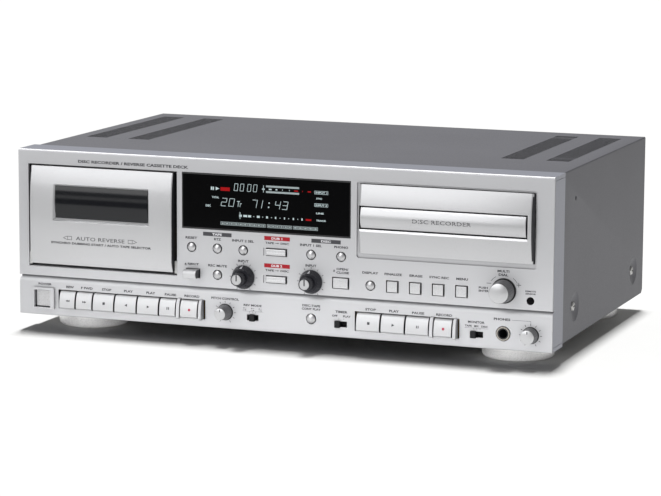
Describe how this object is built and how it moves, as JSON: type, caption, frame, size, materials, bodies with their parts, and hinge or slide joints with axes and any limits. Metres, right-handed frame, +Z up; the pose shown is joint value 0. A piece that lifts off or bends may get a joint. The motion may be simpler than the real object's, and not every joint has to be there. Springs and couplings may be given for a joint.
{
  "type": "disc recorder and cassette deck",
  "caption": "Full-width silver hi-fi component with a drop-open cassette door, a sliding disc tray, a display, keys, knobs and switches on a grooved front panel.",
  "frame": {"origin": "middle of the footprint, on the surface that the feet stand on", "axes": "+X to the right as seen from the front, +Y to the rear, +Z up; the front panel faces -Y"},
  "size_m": [0.435, 0.2864, 0.144],
  "materials": {
    "panel_silver": "fine bead-blasted silver",
    "trim_silver": "satin silver",
    "cover_grey": "textured grey paint",
    "zinc_sheet": "zinc-plated sheet",
    "foot_metal": "turned bright metal",
    "dark_plastic": "dark grey moulding",
    "black_plastic": "black moulding",
    "display_black": "gloss black window",
    "smoked_window": "smoked clear window",
    "key_silver": "satin silver paint on plastic",
    "socket_metal": "pale plated metal"
  },
  "bodies": {
    "case": {"front_panel": "panel_silver", "top_cover": "cover_grey", "chassis_base": "zinc_sheet", "rear_panel": "zinc_sheet", "mains_inlet": "black_plastic", "foot_front_left": "foot_metal", "foot_front_right": "foot_metal", "foot_rear_left": "foot_metal", "foot_rear_right": "foot_metal", "mechanism_plate": "zinc_sheet", "display_window": "display_black", "disc_bezel": "trim_silver", "drive_housing": "zinc_sheet", "phones_jack": "socket_metal"},
    "cassette_door_body": {"cassette_door": "trim_silver", "cassette_window": "smoked_window", "cassette_holder": "dark_plastic"},
    "tray_body": {"tray_front": "trim_silver", "disc_tray": "dark_plastic"},
    "reel_spindle_left_body": {"reel_spindle_left": "dark_plastic"},
    "reel_spindle_right_body": {"reel_spindle_right": "dark_plastic"},
    "reset_button_body": {"reset_button": "key_silver"},
    "return_to_zero_button_body": {"return_to_zero_button": "key_silver"},
    "tape_input_button_body": {"tape_input_button": "key_silver"},
    "disc_input_button_body": {"disc_input_button": "key_silver"},
    "phono_button_body": {"phono_button": "key_silver"},
    "record_mute_button_body": {"record_mute_button": "key_silver"},
    "display_button_body": {"display_button": "key_silver"},
    "continuous_play_button_body": {"continuous_play_button": "key_silver"},
    "dub_one_button_body": {"dub_one_button": "key_silver"},
    "dub_two_button_body": {"dub_two_button": "key_silver"},
    "open_close_button_body": {"open_close_button": "key_silver"},
    "finalize_button_body": {"finalize_button": "key_silver"},
    "erase_button_body": {"erase_button": "key_silver"},
    "sync_record_button_body": {"sync_record_button": "key_silver"},
    "menu_button_body": {"menu_button": "key_silver"},
    "eject_button_body": {"eject_button": "key_silver"},
    "tape_rewind_key_body": {"tape_rewind_key": "key_silver"},
    "tape_forward_key_body": {"tape_forward_key": "key_silver"},
    "tape_stop_key_body": {"tape_stop_key": "key_silver"},
    "tape_play_reverse_key_body": {"tape_play_reverse_key": "key_silver"},
    "tape_play_key_body": {"tape_play_key": "key_silver"},
    "tape_pause_key_body": {"tape_pause_key": "key_silver"},
    "tape_record_key_body": {"tape_record_key": "key_silver"},
    "disc_stop_key_body": {"disc_stop_key": "key_silver"},
    "disc_play_key_body": {"disc_play_key": "key_silver"},
    "disc_pause_key_body": {"disc_pause_key": "key_silver"},
    "disc_record_key_body": {"disc_record_key": "key_silver"},
    "power_key_body": {"power_key": "key_silver"},
    "tape_input_knob_outer_body": {"tape_input_knob_outer": "dark_plastic"},
    "tape_input_knob_inner_body": {"tape_input_knob_inner": "key_silver"},
    "disc_input_knob_outer_body": {"disc_input_knob_outer": "dark_plastic"},
    "disc_input_knob_inner_body": {"disc_input_knob_inner": "key_silver"},
    "dial_shaft_body": {"multi_dial_shaft": "zinc_sheet"},
    "dial_body": {"multi_dial": "key_silver"},
    "pitch_knob_body": {"pitch_knob": "key_silver"},
    "phones_level_knob_body": {"phones_level_knob": "key_silver"},
    "reverse_mode_switch_body": {"reverse_mode_switch": "black_plastic"},
    "timer_switch_body": {"timer_switch": "black_plastic"},
    "monitor_switch_body": {"monitor_switch": "black_plastic"}
  },
  "joints": [
    {"name": "cassette_door_hinge", "type": "hinge", "parent": "case", "child": "cassette_door_body", "pos_m": [-0.1457, -0.1252, 0.0561], "axis": [1, 0, 0], "range_deg": [0, 30]},
    {"name": "disc_tray_slide", "type": "slide", "parent": "case", "child": "tray_body", "axis": [0, -1, 0], "range_m": [0, 0.128]},
    {"name": "reel_spindle_left_turn", "type": "hinge", "parent": "case", "child": "reel_spindle_left_body", "pos_m": [-0.16695, -0.1082, 0.0995], "axis": [0, 1, 0], "continuous": true},
    {"name": "reel_spindle_right_turn", "type": "hinge", "parent": "case", "child": "reel_spindle_right_body", "pos_m": [-0.12445, -0.1082, 0.0995], "axis": [0, 1, 0], "continuous": true},
    {"name": "reset_button_press", "type": "slide", "parent": "case", "child": "reset_button_body", "axis": [0, 1, 0], "range_m": [0, 0.0009], "stiffness_N_per_m": 250},
    {"name": "return_to_zero_button_press", "type": "slide", "parent": "case", "child": "return_to_zero_button_body", "axis": [0, 1, 0], "range_m": [0, 0.0009], "stiffness_N_per_m": 250},
    {"name": "tape_input_button_press", "type": "slide", "parent": "case", "child": "tape_input_button_body", "axis": [0, 1, 0], "range_m": [0, 0.0009], "stiffness_N_per_m": 250},
    {"name": "disc_input_button_press", "type": "slide", "parent": "case", "child": "disc_input_button_body", "axis": [0, 1, 0], "range_m": [0, 0.0009], "stiffness_N_per_m": 250},
    {"name": "phono_button_press", "type": "slide", "parent": "case", "child": "phono_button_body", "axis": [0, 1, 0], "range_m": [0, 0.0009], "stiffness_N_per_m": 250},
    {"name": "record_mute_button_press", "type": "slide", "parent": "case", "child": "record_mute_button_body", "axis": [0, 1, 0], "range_m": [0, 0.0009], "stiffness_N_per_m": 250},
    {"name": "display_button_press", "type": "slide", "parent": "case", "child": "display_button_body", "axis": [0, 1, 0], "range_m": [0, 0.0009], "stiffness_N_per_m": 250},
    {"name": "continuous_play_button_press", "type": "slide", "parent": "case", "child": "continuous_play_button_body", "axis": [0, 1, 0], "range_m": [0, 0.0009], "stiffness_N_per_m": 250},
    {"name": "dub_one_button_press", "type": "slide", "parent": "case", "child": "dub_one_button_body", "axis": [0, 1, 0], "range_m": [0, 0.001], "stiffness_N_per_m": 250},
    {"name": "dub_two_button_press", "type": "slide", "parent": "case", "child": "dub_two_button_body", "axis": [0, 1, 0], "range_m": [0, 0.001], "stiffness_N_per_m": 250},
    {"name": "open_close_button_press", "type": "slide", "parent": "case", "child": "open_close_button_body", "axis": [0, 1, 0], "range_m": [0, 0.001], "stiffness_N_per_m": 250},
    {"name": "finalize_button_press", "type": "slide", "parent": "case", "child": "finalize_button_body", "axis": [0, 1, 0], "range_m": [0, 0.001], "stiffness_N_per_m": 250},
    {"name": "erase_button_press", "type": "slide", "parent": "case", "child": "erase_button_body", "axis": [0, 1, 0], "range_m": [0, 0.001], "stiffness_N_per_m": 250},
    {"name": "sync_record_button_press", "type": "slide", "parent": "case", "child": "sync_record_button_body", "axis": [0, 1, 0], "range_m": [0, 0.001], "stiffness_N_per_m": 250},
    {"name": "menu_button_press", "type": "slide", "parent": "case", "child": "menu_button_body", "axis": [0, 1, 0], "range_m": [0, 0.001], "stiffness_N_per_m": 250},
    {"name": "eject_button_press", "type": "slide", "parent": "case", "child": "eject_button_body", "axis": [0, 1, 0], "range_m": [0, 0.0025], "stiffness_N_per_m": 250},
    {"name": "tape_rewind_key_press", "type": "slide", "parent": "case", "child": "tape_rewind_key_body", "axis": [0, 1, 0], "range_m": [0, 0.0015], "stiffness_N_per_m": 250},
    {"name": "tape_forward_key_press", "type": "slide", "parent": "case", "child": "tape_forward_key_body", "axis": [0, 1, 0], "range_m": [0, 0.0015], "stiffness_N_per_m": 250},
    {"name": "tape_stop_key_press", "type": "slide", "parent": "case", "child": "tape_stop_key_body", "axis": [0, 1, 0], "range_m": [0, 0.0015], "stiffness_N_per_m": 250},
    {"name": "tape_play_reverse_key_press", "type": "slide", "parent": "case", "child": "tape_play_reverse_key_body", "axis": [0, 1, 0], "range_m": [0, 0.0015], "stiffness_N_per_m": 250},
    {"name": "tape_play_key_press", "type": "slide", "parent": "case", "child": "tape_play_key_body", "axis": [0, 1, 0], "range_m": [0, 0.0015], "stiffness_N_per_m": 250},
    {"name": "tape_pause_key_press", "type": "slide", "parent": "case", "child": "tape_pause_key_body", "axis": [0, 1, 0], "range_m": [0, 0.0015], "stiffness_N_per_m": 250},
    {"name": "tape_record_key_press", "type": "slide", "parent": "case", "child": "tape_record_key_body", "axis": [0, 1, 0], "range_m": [0, 0.0015], "stiffness_N_per_m": 250},
    {"name": "disc_stop_key_press", "type": "slide", "parent": "case", "child": "disc_stop_key_body", "axis": [0, 1, 0], "range_m": [0, 0.0015], "stiffness_N_per_m": 250},
    {"name": "disc_play_key_press", "type": "slide", "parent": "case", "child": "disc_play_key_body", "axis": [0, 1, 0], "range_m": [0, 0.0015], "stiffness_N_per_m": 250},
    {"name": "disc_pause_key_press", "type": "slide", "parent": "case", "child": "disc_pause_key_body", "axis": [0, 1, 0], "range_m": [0, 0.0015], "stiffness_N_per_m": 250},
    {"name": "disc_record_key_press", "type": "slide", "parent": "case", "child": "disc_record_key_body", "axis": [0, 1, 0], "range_m": [0, 0.0015], "stiffness_N_per_m": 250},
    {"name": "power_key_latch", "type": "slide", "parent": "case", "child": "power_key_body", "axis": [0, 1, 0], "range_m": [-0.0028, 0.0008]},
    {"name": "tape_input_knob_outer_turn", "type": "hinge", "parent": "case", "child": "tape_input_knob_outer_body", "pos_m": [-0.0273, -0.1332, 0.0545], "axis": [0, 1, 0], "range_deg": [-150, 150]},
    {"name": "tape_input_knob_inner_turn", "type": "hinge", "parent": "case", "child": "tape_input_knob_inner_body", "pos_m": [-0.0273, -0.1332, 0.0545], "axis": [0, 1, 0], "range_deg": [-150, 150]},
    {"name": "disc_input_knob_outer_turn", "type": "hinge", "parent": "case", "child": "disc_input_knob_outer_body", "pos_m": [0.0279, -0.1332, 0.0545], "axis": [0, 1, 0], "range_deg": [-150, 150]},
    {"name": "disc_input_knob_inner_turn", "type": "hinge", "parent": "case", "child": "disc_input_knob_inner_body", "pos_m": [0.0279, -0.1332, 0.0545], "axis": [0, 1, 0], "range_deg": [-150, 150]},
    {"name": "multi_dial_press", "type": "slide", "parent": "case", "child": "dial_shaft_body", "axis": [0, 1, 0], "range_m": [0, 0.0008], "stiffness_N_per_m": 250},
    {"name": "multi_dial_turn", "type": "hinge", "parent": "dial_shaft_body", "child": "dial_body", "pos_m": [0.18, -0.1342, 0.0578], "axis": [0, 1, 0], "continuous": true},
    {"name": "pitch_knob_turn", "type": "hinge", "parent": "case", "child": "pitch_knob_body", "pos_m": [-0.0425, -0.1322, 0.0263], "axis": [0, 1, 0], "range_deg": [-150, 150]},
    {"name": "phones_level_knob_turn", "type": "hinge", "parent": "case", "child": "phones_level_knob_body", "pos_m": [0.201, -0.1322, 0.0258], "axis": [0, 1, 0], "range_deg": [-150, 150]},
    {"name": "reverse_mode_switch_slide", "type": "slide", "parent": "case", "child": "reverse_mode_switch_body", "axis": [1, 0, 0], "range_m": [-0.00255, 0.00255]},
    {"name": "timer_switch_slide", "type": "slide", "parent": "case", "child": "timer_switch_body", "axis": [1, 0, 0], "range_m": [0, 0.005]},
    {"name": "monitor_switch_slide", "type": "slide", "parent": "case", "child": "monitor_switch_body", "axis": [1, 0, 0], "range_m": [0, 0.0051]}
  ]
}
